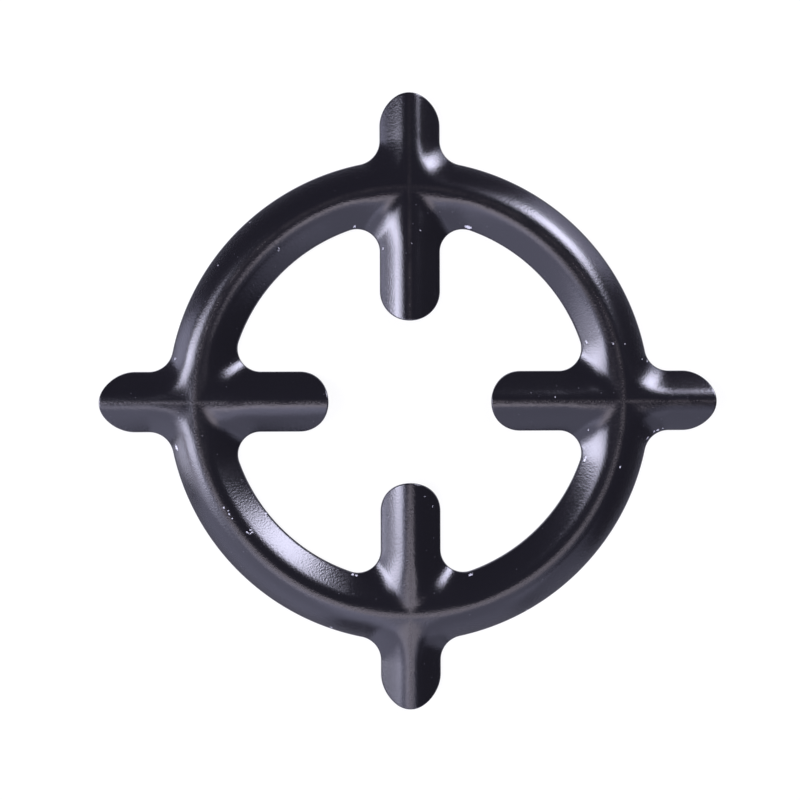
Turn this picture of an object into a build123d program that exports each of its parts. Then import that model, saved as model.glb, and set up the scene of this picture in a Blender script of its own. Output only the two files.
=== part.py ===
from build123d import *
import os
from math import cos, hypot, radians, sin, tan

# Driving dimensions, in millimetres, with the flank's slope in degrees.
# The plan: a ring crossed by arms that reach inwards and outwards
ring_pitch_radius = 50.0
outer_tip_radius = 72.0
inner_tip_radius = 19.0
rib_width = 14.2
outer_corner_radius = 5.8
inner_corner_radius = 5.4
arm_count = 4

# The section: one rounded ridge with straight flanks, pressed in the ring and in the arms,
# whose crest lies a small step under the ring's. The valley radius joins ring and arms
sheet_thickness = 1.0
crest_radius = 7.0
flank_slope = 38.0
arm_step = 0.15
valley_radius = 9.5

# The flat of the cut rim, which the ring stands on
foot_width = 0.4

# Sizes that follow from them
half_width = rib_width / 2
slope = radians(flank_slope)
rim_height = sheet_thickness / cos(slope) - foot_width * tan(slope)
flank_run = half_width - crest_radius * sin(slope)
rib_rise = crest_radius * (1 - cos(slope)) + flank_run * tan(slope)
crest_height = rim_height + rib_rise
ring_outer_radius = ring_pitch_radius + half_width
ring_inner_radius = ring_pitch_radius - half_width
arm_length = outer_tip_radius - inner_tip_radius
arm_middle_radius = inner_tip_radius + arm_length / 2

# The press forms reach below the foot and past the tips, and the cut rim trims them
form_depth = 2.0 * sheet_thickness
form_start = inner_tip_radius / 2
form_end = outer_tip_radius + rib_width
same_place = 0.001


def rib_section(plane, middle, crest, radius):
    """Section of a solid rib down to the forms' depth: a rounded ridge on two straight flanks."""
    shoulder_x = radius * sin(slope)
    shoulder_z = crest - radius * (1 - cos(slope))
    toe_x = shoulder_x + (shoulder_z + form_depth) / tan(slope)
    with BuildSketch(plane) as section:
        with BuildLine():
            ThreePointArc(
                (middle - shoulder_x, shoulder_z),
                (middle, crest),
                (middle + shoulder_x, shoulder_z),
            )
            Polyline(
                (middle + shoulder_x, shoulder_z),
                (middle + toe_x, -form_depth),
                (middle - toe_x, -form_depth),
                (middle - shoulder_x, shoulder_z),
            )
        make_face()
    return section.sketch


def press_form(inset):
    """Solid that fills the space under the sheet's upper face, less an even inset."""
    radius = crest_radius - inset
    crest = crest_height - inset
    ring_section = rib_section(Plane.XZ, ring_pitch_radius, crest, radius)
    arm_section = rib_section(Plane.YZ.offset(form_start), 0, crest - arm_step, radius)
    arm = extrude(arm_section, amount=form_end - form_start)
    with BuildPart() as form:
        revolve(ring_section, axis=Axis.Z)
        with PolarLocations(0, arm_count):
            add(arm)
        # Every edge of a rib is straight or round, so the others are the valleys where two ribs meet
        edges = form.edges()
        valleys = [e for e in edges if e.geom_type not in (GeomType.LINE, GeomType.CIRCLE)]
        fillet(valleys, valley_radius + inset)
    return form.part


# Plan of the blank: the ring, the arms with round ends, and rounded corners where they cross
with BuildSketch() as blank:
    Circle(ring_outer_radius)
    Circle(ring_inner_radius, mode=Mode.SUBTRACT)
    with PolarLocations(arm_middle_radius, arm_count):
        SlotOverall(arm_length, rib_width)
    corners = blank.vertices()
    outer_corners = [c for c in corners if abs(hypot(c.X, c.Y) - ring_outer_radius) < same_place]
    inner_corners = [c for c in corners if abs(hypot(c.X, c.Y) - ring_inner_radius) < same_place]
    fillet(outer_corners, outer_corner_radius)
    fillet(inner_corners, inner_corner_radius)

# The ring itself: one sheet between the two forms, cut to the blank's plan and flat underneath
upper_form = press_form(0)
lower_form = press_form(sheet_thickness)
with BuildPart() as reducer_ring:
    add(upper_form)
    add(lower_form, mode=Mode.SUBTRACT)
    extrude(blank.sketch, amount=crest_height + sheet_thickness, mode=Mode.INTERSECT)

os.makedirs("parts", exist_ok=True)
reducer_ring.part.label = "reducer_ring"
export_step(reducer_ring.part, "parts/reducer_ring.step")
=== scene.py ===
from math import atan2, cos, hypot, pi, radians, sin, sqrt

import bmesh
import bpy
from mathutils import Matrix, Vector


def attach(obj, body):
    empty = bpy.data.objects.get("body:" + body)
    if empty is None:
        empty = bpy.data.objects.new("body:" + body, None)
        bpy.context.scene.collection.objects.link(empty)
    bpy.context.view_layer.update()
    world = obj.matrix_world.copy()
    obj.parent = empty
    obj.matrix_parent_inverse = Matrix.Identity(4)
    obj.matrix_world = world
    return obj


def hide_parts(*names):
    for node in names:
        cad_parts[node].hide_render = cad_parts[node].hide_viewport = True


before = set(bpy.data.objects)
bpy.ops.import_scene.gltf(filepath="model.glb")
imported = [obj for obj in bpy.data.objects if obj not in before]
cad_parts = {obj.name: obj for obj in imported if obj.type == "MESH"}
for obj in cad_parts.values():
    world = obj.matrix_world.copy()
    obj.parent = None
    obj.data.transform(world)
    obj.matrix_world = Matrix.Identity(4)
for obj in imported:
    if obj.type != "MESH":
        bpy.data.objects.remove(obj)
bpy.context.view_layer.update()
mm = 0.001


# The pressed sheet. The real ring is one blank of steel sheet about 1 mm thick, cut to a ring with
# four round-ended arms across it and pressed, so that ring and arms become one rounded rib. Where
# the ribs cross, the press leaves a round valley in each corner.
ring_pitch_radius = 50.0 * mm
outer_tip_radius = 72.0 * mm
inner_tip_radius = 19.0 * mm
half_width = 7.1 * mm
outer_corner_radius = 5.8 * mm
inner_corner_radius = 5.4 * mm
sheet_thickness = 1.0 * mm
crest_radius = 6.5 * mm
flank_radius = 30.0 * mm
shoulder = radians(31.0)
arm_step = 0.15 * mm
outer_valley_radius = 9.5 * mm
inner_valley_radius = 6.0 * mm
foot_width = 0.4 * mm
crest_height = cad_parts["reducer_ring"].dimensions.z
flank_shift = (flank_radius - crest_radius) * sin(shoulder)
flank_drop = (flank_radius - crest_radius) * cos(shoulder)

# How far each corner is filled, from its rolled valley to a rib's section swept around the rim
outer_fill = 0.6
inner_fill = 0.35


def ridge_height(distance, crest, offset):
    """Height, at that distance from a ridge's middle line, of the surface that lies evenly over
    the ridge by the offset."""
    if distance < (crest_radius + offset) * sin(shoulder):
        return crest - crest_radius + sqrt((crest_radius + offset) ** 2 - distance ** 2)
    reach = min(distance + flank_shift, flank_radius + offset)
    return crest - crest_radius - flank_drop + sqrt((flank_radius + offset) ** 2 - reach ** 2)


def ridge_distance(height, crest, offset):
    """Distance from the ridge's middle line at which that surface has that height."""
    rise = height - crest + crest_radius
    if rise > (crest_radius + offset) * cos(shoulder):
        return sqrt((crest_radius + offset) ** 2 - rise ** 2)
    return sqrt((flank_radius + offset) ** 2 - (rise + flank_drop) ** 2) - flank_shift


def ball_distance(distance, inset, valley):
    """Distance from a ridge's middle line to the centre of the valley's ball, when the ball touches
    the inset ridge at the given distance."""
    if distance < (crest_radius - inset) * sin(shoulder):
        return distance * (crest_radius + valley) / (crest_radius - inset)
    return (distance + flank_shift) * (flank_radius + valley) / (flank_radius - inset) - flank_shift


def rolled_height(x, y, inset):
    """Height of the sheet's upper face, less an even inset, when a ball that is rolled along both
    ribs rounds the valley between them."""
    search_steps = 44
    arm_crest = crest_height - arm_step
    out = hypot(x, y)
    side = 1 if out > ring_pitch_radius else -1
    valley = outer_valley_radius if side > 0 else inner_valley_radius
    ball = valley + inset
    ring_distance = abs(out - ring_pitch_radius)
    arm_distance = abs(y)
    ring = ridge_height(ring_distance, crest_height, -inset)
    arm = ridge_height(arm_distance, arm_crest, -inset)
    if ring > arm:
        ball_out = ring_pitch_radius + side * ball_distance(ring_distance, inset, valley)
        ball_height = ridge_height(abs(ball_out - ring_pitch_radius), crest_height, valley)
        stays_clear = ridge_height(abs(y) * ball_out / out, arm_crest, valley) <= ball_height
    else:
        ball_across = ball_distance(arm_distance, inset, valley)
        ball_height = ridge_height(ball_across, arm_crest, valley)
        ball_offset = abs(hypot(x, ball_across) - ring_pitch_radius)
        stays_clear = ridge_height(ball_offset, crest_height, valley) <= ball_height
    if stays_clear:
        return max(ring, arm)

    def under_ball(across):
        """Height of the ball's lower side over this point, when its centre is that far from the
        arm's middle line."""
        centre_height = ridge_height(across, arm_crest, valley)
        centre_out = ring_pitch_radius + side * ridge_distance(centre_height, crest_height, valley)
        gap = hypot(sqrt(centre_out ** 2 - across ** 2) - x, across - arm_distance)
        return centre_height - sqrt(ball ** 2 - gap ** 2) if gap < ball else centre_height + gap

    low, high = 0.0, arm_distance + ball
    for _ in range(search_steps):
        third = (high - low) / 3
        if under_ball(low + third) < under_ball(high - third):
            high -= third
        else:
            low += third
    return under_ball((low + high) / 2)


def pressed_height(x, y, inset):
    """Height of the sheet's upper face, less an even inset. In the corners of the blank the valley
    is filled part of the way to a section that follows the rim."""
    side = 1 if hypot(x, y) > ring_pitch_radius else -1
    corner_radius = outer_corner_radius if side > 0 else inner_corner_radius
    corner_y = half_width + corner_radius
    corner_x = sqrt((ring_pitch_radius + side * corner_y) ** 2 - corner_y ** 2)
    rolled = rolled_height(x, y, inset)
    if side * (x - corner_x) > 0 or y > x * corner_y / corner_x:
        return rolled
    turn = atan2(side * (corner_x - x), corner_y - y) / atan2(corner_x, side * corner_y)
    crest = crest_height - arm_step * (1 - turn)
    from_rim = hypot(corner_x - x, corner_y - y) - corner_radius
    swept = ridge_height(max(0.0, half_width - from_rim), crest, -inset)
    return rolled + (outer_fill if side > 0 else inner_fill) * max(0.0, swept - rolled)


# An eighth of the sheet is a grid from the rib's middle line to its outline, with one narrow row
# for the flat that the rim stands on. It is laid out flat, pressed, and then mirrored and turned
# to make the whole.
cell = 0.5 * mm
across_steps = 17
end_steps = 22
corner_steps = 18
ring_steps = 84


def half_plan(side):
    """Middle line and outline of one side of the rib, over an eighth of the ring, as points that
    pair up."""
    tip_radius = outer_tip_radius if side > 0 else inner_tip_radius
    corner_radius = outer_corner_radius if side > 0 else inner_corner_radius
    edge_radius = ring_pitch_radius + side * half_width
    end_centre = tip_radius - side * half_width
    corner_y = half_width + corner_radius
    corner_x = sqrt((edge_radius + side * corner_radius) ** 2 - corner_y ** 2)
    corner_angle = atan2(corner_y, corner_x)
    corner_turn = corner_angle - side * pi / 2

    def corner_point(share):
        """Point on the rim's rounded corner, at that share of its turn."""
        angle = -pi / 2 + corner_turn * share
        return corner_x + corner_radius * cos(angle), corner_y + corner_radius * sin(angle)

    pairs = []
    for step in range(end_steps):
        angle = pi / 2 * step / end_steps
        round_end = (end_centre + side * half_width * cos(angle), half_width * sin(angle))
        pairs.append(((end_centre, 0.0), round_end))
    straight_steps = max(3, round(abs(end_centre - corner_x) / cell))
    for step in range(straight_steps):
        x = end_centre + (corner_x - end_centre) * step / straight_steps
        pairs.append(((x, 0.0), (x, half_width)))
    for step in range(corner_steps):
        share = step / corner_steps
        x = corner_x + (ring_pitch_radius - corner_x) * share
        pairs.append(((x, 0.0), corner_point(share / 2)))
    for step in range(ring_steps + 1):
        angle = pi / 4 * step / ring_steps
        middle = (ring_pitch_radius * cos(angle), ring_pitch_radius * sin(angle))
        if angle < corner_angle:
            pairs.append((middle, corner_point(0.5 + 0.5 * angle / corner_angle)))
        else:
            pairs.append((middle, (edge_radius * cos(angle), edge_radius * sin(angle))))
    return pairs


sheet_mesh = bmesh.new()
for inset in (0.0, sheet_thickness):
    for side in (1, -1):
        pairs = half_plan(side)
        grid = bmesh.ops.create_grid(sheet_mesh, x_segments=len(pairs) - 1,
                                     y_segments=across_steps, size=0.5)
        for vertex in grid["verts"]:
            (mx, my), (ex, ey) = pairs[round((vertex.co.x + 0.5) * (len(pairs) - 1))]
            row = round((vertex.co.y + 0.5) * across_steps)
            width = hypot(ex - mx, ey - my)
            share = row / (across_steps - 1) * (1 - foot_width / width)
            if row == across_steps:
                share = 1.0
            x, y = mx + (ex - mx) * share, my + (ey - my) * share
            vertex.co = (x, y, max(0.0, pressed_height(x, y, inset)))

seam_gap = 0.001 * mm
same_place = 0.01 * mm
eighths = sheet_mesh.verts[:] + sheet_mesh.edges[:] + sheet_mesh.faces[:]
bmesh.ops.mirror(sheet_mesh, geom=eighths, matrix=Matrix.Identity(4), axis="Y",
                 merge_dist=seam_gap)
quarter = sheet_mesh.verts[:] + sheet_mesh.edges[:] + sheet_mesh.faces[:]
bmesh.ops.spin(sheet_mesh, geom=quarter, cent=(0, 0, 0), axis=(0, 0, 1), angle=2 * pi * 3 / 4,
               steps=3, use_duplicate=True)
bmesh.ops.remove_doubles(sheet_mesh, verts=sheet_mesh.verts, dist=same_place)
for outside in (True, False):
    rims = [e for e in sheet_mesh.edges if e.is_boundary
            and ((e.verts[0].co.xy.length > ring_pitch_radius) == outside)]
    bmesh.ops.bridge_loops(sheet_mesh, edges=rims)
bmesh.ops.recalc_face_normals(sheet_mesh, faces=sheet_mesh.faces)

# The enamel runs over the cut rim and rounds its edges
rim_round = 0.34 * mm
rim_angle = radians(46)
sharp = [e for e in sheet_mesh.edges if len(e.link_faces) == 2 and e.calc_face_angle() > rim_angle]
bmesh.ops.bevel(sheet_mesh, geom=sharp, offset=rim_round, affect="EDGES", segments=3, profile=0.5,
                material=-1, clamp_overlap=True, loop_slide=True)

sheet = bpy.data.meshes.new("pressed_ring")
sheet_mesh.to_mesh(sheet)
sheet_mesh.free()
sheet.shade_smooth()
pressed_ring = bpy.data.objects.new("pressed_ring", sheet)
bpy.context.scene.collection.objects.link(pressed_ring)
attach(pressed_ring, "root")
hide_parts("reducer_ring")


# The enamel. The real coat is black glass, sprayed on as a powder or slip and fired. Its face is
# satin and slightly bluish, with a fine grain, dust, a worn line along the crests that also carries
# a painted sheen, and small bright chips where it is knocked off. One material shows all of these.
class Socket:
    """Output of a shader node, so that sums on it read as expressions."""

    def __init__(self, tree, output):
        self.tree = tree
        self.output = output

    def math(self, operation, *values, swap=False):
        inputs = (*values, self) if swap else (self, *values)
        return node(self.tree, "ShaderNodeMath", {"operation": operation}, dict(enumerate(inputs)))

    def __add__(self, other):
        return self.math("ADD", other)

    def __sub__(self, other):
        return self.math("SUBTRACT", other)

    def __rsub__(self, other):
        return self.math("SUBTRACT", other, swap=True)

    def __mul__(self, other):
        return self.math("MULTIPLY", other)

    def __abs__(self):
        return self.math("ABSOLUTE")

    def lesser(self, other):
        return self.math("MINIMUM", other)

    def clamped(self):
        return node(self.tree, "ShaderNodeClamp", {}, {"Value": self})

    __radd__ = __add__


def node(tree, kind, settings, inputs, output=0):
    """Adds a node, with its settings and the values or links of its sockets, and returns its
    output."""
    made = tree.nodes.new(kind)
    for name, value in settings.items():
        setattr(made, name, value)
    for name, value in inputs.items():
        if isinstance(value, Socket):
            tree.links.new(value.output, made.inputs[name])
        else:
            made.inputs[name].default_value = value
    return Socket(tree, made.outputs[output]) if made.outputs else None


enamel = bpy.data.materials.new("black_enamel")
enamel.use_nodes = True
tree = enamel.node_tree
tree.nodes.clear()
place = node(tree, "ShaderNodeTexCoord", {}, {}, "Object")
grain = node(tree, "ShaderNodeTexNoise", {}, {"Vector": place, "Scale": 2400.0, "Detail": 3.0})
waves = node(tree, "ShaderNodeTexNoise", {}, {"Vector": place, "Scale": 160.0, "Detail": 2.0})


def blend(share, first, second):
    """Mixes two colours by that share of the second."""
    return node(tree, "ShaderNodeMix", {"data_type": "RGBA"}, {0: share, 6: first, 7: second}, 2)


# Painted sheen and wear: a dull brown line along the crests of the ring and, a little less, of the
# arms, partly rubbed by pans and partly a painted reflection of the light above the crests
flat_place = node(tree, "ShaderNodeVectorMath", {"operation": "MULTIPLY"},
                  {0: place, 1: (1.0, 1.0, 0.0)})
out = node(tree, "ShaderNodeVectorMath", {"operation": "LENGTH"}, {0: flat_place}, "Value")
folded = node(tree, "ShaderNodeVectorMath", {"operation": "ABSOLUTE"}, {0: place})
along_x = node(tree, "ShaderNodeSeparateXYZ", {}, {0: folded}, "X")
along_y = node(tree, "ShaderNodeSeparateXYZ", {}, {0: folded}, "Y")
above = node(tree, "ShaderNodeSeparateXYZ", {}, {0: place}, "Z")
rub_and_sheen_width = 0.8 * mm
rub_and_sheen_floor = 4.0 * mm
rub_and_sheen_fade = 0.2 * mm
arm_loss = 0.1 * mm
ring_gap = abs(out - ring_pitch_radius)
arm_gap = along_x.lesser(along_y) + arm_loss
rub_and_sheen = ((rub_and_sheen_width - ring_gap.lesser(arm_gap)) * (1 / rub_and_sheen_width)).clamped()
rub_and_sheen = rub_and_sheen * ((above - rub_and_sheen_floor) * (1 / rub_and_sheen_fade)).clamped()

# The line is patchy, and weaker towards the back, where its painted sheen fades
patch_start = 0.65
patch_slope = 2.6
rub_and_sheen = rub_and_sheen * ((grain + waves * 0.8 - patch_start) * patch_slope).clamped()
to_back = node(tree, "ShaderNodeSeparateXYZ", {}, {0: place}, "Y")
middle_share = 0.7
back_sheen_loss = 0.4
rub_and_sheen = rub_and_sheen * (middle_share - to_back * (back_sheen_loss / ring_pitch_radius)).clamped()

# Chips in the enamel, each an oval with its place, half length, half width (mm) and turn (degrees)
chips = {
    "window_back_right": (13.8, 41.1, 1.08, 0.34, -10),
    "window_back_left": (-13.0, 41.2, 0.42, 0.18, 30),
    "arm_back_left": (-6.3, 36.0, 0.34, 0.17, 90),
    "window_front_left": (-13.7, -40.95, 0.25, 0.22, 0),
    "window_front_left_tail": (-12.8, -41.2, 0.35, 0.13, -10),
    "window_front_right": (14.2, -41.15, 0.62, 0.21, 20),
    "window_right_back": (41.7, 13.9, 0.46, 0.2, -68),
    "window_right_front": (41.45, -13.8, 0.85, 0.24, 67),
    "corner_left_back": (-55.05, 10.15, 0.28, 0.24, 60),
    "corner_left_front": (-54.75, -10.65, 0.78, 0.32, -70),
    "corner_right_back": (56.3, 9.4, 0.36, 0.15, -60),
    "corner_right_back_dot": (54.8, 9.9, 0.15, 0.14, 0),
    "corner_right_front": (56.35, -8.9, 0.46, 0.16, 50),
    "corner_right_front_second": (58.0, -7.35, 0.25, 0.12, 30),
    "corner_right_front_third": (58.9, -7.0, 0.36, 0.2, 25),
    "corner_right_front_last": (60.1, -6.65, 0.15, 0.12, 0),
    "crest_flake": (-43.2, -24.4, 0.26, 0.22, 0),
    "crest_flake_second": (-42.0, -25.9, 0.42, 0.18, -50),
    "crest_flake_third": (-42.2, -25.1, 0.15, 0.12, 0),
    "crest_flake_last": (-41.3, -26.9, 0.24, 0.1, -45),
    "scuff_lower": (-37.75, -30.3, 0.52, 0.14, -35),
    "scuff_right": (-36.9, -30.3, 0.46, 0.14, 25),
    "scuff_upper": (-37.1, -29.7, 0.5, 0.12, -15),
    "rim_inner_left": (-34.1, -26.35, 0.36, 0.18, -60),
    "rim_outer_left": (-18.8, -53.5, 0.26, 0.2, 0),
    "rim_outer_right": (27.65, -49.8, 0.22, 0.15, 0),
    "tick_down": (-30.4, 35.8, 0.4, 0.07, -45),
    "tick_up": (-30.35, 35.35, 0.28, 0.06, 50),
    "pit_arm_back": (2.55, 39.9, 0.2, 0.14, 30),
    "pit_arm_back_inner": (0.35, 37.0, 0.2, 0.12, -60),
    "pit_arm_front": (3.35, -22.2, 0.19, 0.17, 0),
    "pit_arm_front_edge": (5.2, -24.8, 0.14, 0.13, 0),
    "pit_arm_right": (42.1, -6.85, 0.19, 0.17, 0),
    "pit_arm_right_crest": (33.9, 1.1, 0.22, 0.1, 0),
    "pit_ring_right": (50.35, 13.45, 0.17, 0.15, 0),
    "pit_ring_right_crest": (47.5, 13.6, 0.32, 0.13, -60),
    "pit_ring_right_front": (49.15, -15.4, 0.24, 0.21, 0),
    "pit_ring_back": (-37.45, 42.15, 0.17, 0.15, 0),
    "pit_ring_left": (-44.75, 32.1, 0.17, 0.15, 0),
}

# A noise moves each place a little before it is measured from the chips, so their edges are ragged
raggedness = 0.9 * mm
chip_depth = 0.7 * mm
chip_reach = 0.96
chip_slope = 3.0
cloud = node(tree, "ShaderNodeTexNoise", {}, {"Vector": place, "Scale": 3200.0, "Detail": 2.0},
             "Color")
cloud = node(tree, "ShaderNodeVectorMath", {"operation": "SUBTRACT"},
             {0: cloud, 1: (0.5, 0.5, 0.5)})
ragged = node(tree, "ShaderNodeVectorMath", {"operation": "MULTIPLY_ADD"},
              {0: cloud, 1: (raggedness, raggedness, raggedness), 2: place})
nearest = None
for x, y, reach, spread, turn in chips.values():
    height = pressed_height(max(abs(x), abs(y)) * mm, min(abs(x), abs(y)) * mm, 0.0)
    within = node(tree, "ShaderNodeMapping", {"vector_type": "TEXTURE"}, {
        "Vector": ragged,
        "Location": (x * mm, y * mm, height),
        "Rotation": (0.0, 0.0, radians(turn)),
        "Scale": (reach * mm, spread * mm, chip_depth),
    })
    oval = node(tree, "ShaderNodeVectorMath", {"operation": "LENGTH"}, {0: within}, "Value")
    nearest = oval if nearest is None else nearest.lesser(oval)
chipped = ((chip_reach - nearest) * chip_slope).clamped()

# Fine dust and pinholes lie all over the coat
speck_reach = 0.075
speck_slope = 30.0
specks = node(tree, "ShaderNodeTexVoronoi", {}, {"Vector": place, "Scale": 420.0}, "Distance")
dust = ((speck_reach - specks) * speck_slope).clamped()

black = (0.0045, 0.0042, 0.0065, 1.0)
worn_and_sheen_brown = (0.05, 0.043, 0.038, 1.0)
dust_grey = (0.09, 0.088, 0.1, 1.0)
chip_white = (0.72, 0.72, 0.75, 1.0)
# Painted sheen: the brown crest line goes into the base colour, partly wear and partly a painted
# reflection
coat = blend(rub_and_sheen * 0.8, black, worn_and_sheen_brown)
coat = blend(dust * 0.5, coat, dust_grey)
coat = blend(chipped, coat, chip_white)
face = grain * 0.9 + waves * 0.3 - dust * 0.3
bump = node(tree, "ShaderNodeBump", {}, {"Height": face, "Strength": 0.2, "Distance": 0.2 * mm})
gloss = node(tree, "ShaderNodeBsdfPrincipled", {}, {
    "Base Color": coat,
    "Roughness": 0.14 + grain * 0.06 + rub_and_sheen * 0.25 + chipped * 0.2,
    "Specular IOR Level": 1.0,
    "Normal": bump,
})
node(tree, "ShaderNodeOutputMaterial", {}, {"Surface": gloss})
sheet.materials.append(enamel)


# The studio. The real ring lay on a plain white table, under a large soft box on the left and one
# on the far right, in a dim room. The table is one flat sheet that shows white to the camera and
# lights the ring as a mid grey; the lamps are plain rectangles where the ring reflects them.
table_size = 6.0
table_mesh = bmesh.new()
bmesh.ops.create_grid(table_mesh, x_segments=1, y_segments=1, size=table_size / 2)
table_data = bpy.data.meshes.new("table")
table_mesh.to_mesh(table_data)
table_mesh.free()
table = bpy.data.objects.new("table", table_data)
bpy.context.scene.collection.objects.link(table)

white = bpy.data.materials.new("white_table")
white.use_nodes = True
tree = white.node_tree
tree.nodes.clear()
white_share = 0.8
paint = node(tree, "ShaderNodeBsdfDiffuse", {}, {"Color": (0.5, 0.5, 0.5, 1.0)})
glow = node(tree, "ShaderNodeEmission", {}, {"Color": (1.0, 1.0, 1.0, 1.0), "Strength": 1.15})
seen = node(tree, "ShaderNodeLightPath", {}, {}, "Is Camera Ray")
table_face = node(tree, "ShaderNodeMixShader", {}, {0: seen * white_share, 1: paint, 2: glow})
node(tree, "ShaderNodeOutputMaterial", {}, {"Surface": table_face})
table_data.materials.append(white)

# Lamps' distances in metres, and the watts per square metre that give a lamp a radiance of one
first_lamp_distance = 1.5
lamp_spacing = 0.03
lamp_power = 4.0


def soft_box(name, azimuth, tilt, across, up, radiance, colour):
    """Area lamp in a plane that faces the ring, seen from it at that azimuth and that many degrees
    from straight above. The lamp reaches across and up the plane between the given shares of the
    plane's distance. Each lamp hangs behind the one before, so that those in one place add up."""
    distance = first_lamp_distance + lamp_spacing * len(bpy.data.lights)
    width = (across[1] - across[0]) * distance
    height = (up[1] - up[0]) * distance
    lamp = bpy.data.lights.new(name, "AREA")
    lamp.shape = "RECTANGLE"
    lamp.size = width
    lamp.size_y = height
    lamp.energy = lamp_power * width * height * radiance
    lamp.color = colour
    box = bpy.data.objects.new(name, lamp)
    lean, bearing = radians(tilt), radians(azimuth)
    away = Vector((sin(lean) * cos(bearing), sin(lean) * sin(bearing), cos(lean)))
    turn = away.to_track_quat("Z", "Y")
    middle = Vector(((across[0] + across[1]) / 2, (up[0] + up[1]) / 2, 1.0))
    box.location = turn @ middle * distance
    box.rotation_euler = turn.to_euler()
    box.visible_camera = False
    bpy.context.scene.collection.objects.link(box)


cold = (0.8, 0.79, 1.0)
dusk = (0.72, 0.72, 1.0)
warm = (0.92, 0.84, 0.98)

# The left soft box, brighter towards its middle, with the lit room beside and below it
soft_box("left_box", 180, 48, (-0.27, 0.34), (-0.42, 0.36), 1.7, cold)
soft_box("left_face", 180, 48, (-0.23, 0.28), (-0.36, 0.26), 3.2, cold)
soft_box("left_tube", 180, 48, (-0.2, 0.24), (-0.32, 0.12), 1.5, cold)
soft_box("left_core", 180, 48, (-0.17, 0.13), (-0.3, 0.0), 2.8, cold)
soft_box("left_wing", 180, 48, (0.34, 0.5), (-1.3, 0.1), 1.6, cold)
soft_box("left_end", 180, 48, (0.2, 0.42), (-1.3, -0.5), 2.0, cold)
soft_box("left_sill", 180, 48, (-0.4, 0.3), (-1.2, -0.5), 1.9, dusk)

# The right soft box, in the same way
soft_box("right_box", 50, 52, (-0.29, 0.18), (-0.42, 0.32), 1.6, cold)
soft_box("right_face", 50, 52, (-0.25, 0.13), (-0.4, 0.2), 5.2, cold)
soft_box("right_tube", 50, 52, (-0.18, 0.1), (-0.33, 0.1), 3.7, cold)
soft_box("right_sill", 50, 52, (-0.42, 0.16), (-0.9, -0.48), 1.35, dusk)

# The lit front of the room, and a warm strip overhead that shows along the crests
soft_box("front_window", 228, 60, (-0.43, 0.46), (-0.7, 0.8), 0.86, dusk)
soft_box("front_wall", 278, 60, (-0.36, 0.36), (-0.7, 0.75), 0.6, dusk)
soft_box("front_corner", 308, 70, (-0.16, 0.16), (-0.4, 0.4), 0.43, dusk)
soft_box("front_lintel", 232, 28, (-0.1, 0.12), (-0.08, 0.08), 1.0, warm)
soft_box("overhead", 270, 17, (-0.24, 0.24), (-0.1, 0.11), 1.7, warm)

world = bpy.data.worlds.new("room")
world.use_nodes = True
room = world.node_tree.nodes["Background"].inputs
room["Color"].default_value = (0.82, 0.78, 1.0, 1.0)
room["Strength"].default_value = 0.11
bpy.context.scene.world = world


# The camera. It looks straight down from about 0.2 m, a little off the ring's middle, as in the
# photo. Its place, its small turns and its lens were fitted to the ring's outline there.
camera_place = (2.93 * mm, 11.92 * mm, 215.83 * mm)
camera_data = bpy.data.cameras.new("camera")
camera_data.sensor_width = 36.0
camera_data.lens = 40.84
camera_data.shift_x = -0.0531
camera_data.shift_y = -0.0479
camera_data.clip_start = 0.01
camera = bpy.data.objects.new("camera", camera_data)
view_turn = (Matrix.Rotation(radians(0.129), 4, "Z") @ Matrix.Rotation(radians(0.682), 4, "X")
             @ Matrix.Rotation(radians(1.262), 4, "Y"))
camera.matrix_world = Matrix.Translation(camera_place) @ view_turn.inverted()
bpy.context.scene.collection.objects.link(camera)
bpy.context.scene.camera = camera

bpy.context.scene.view_settings.view_transform = "Standard"
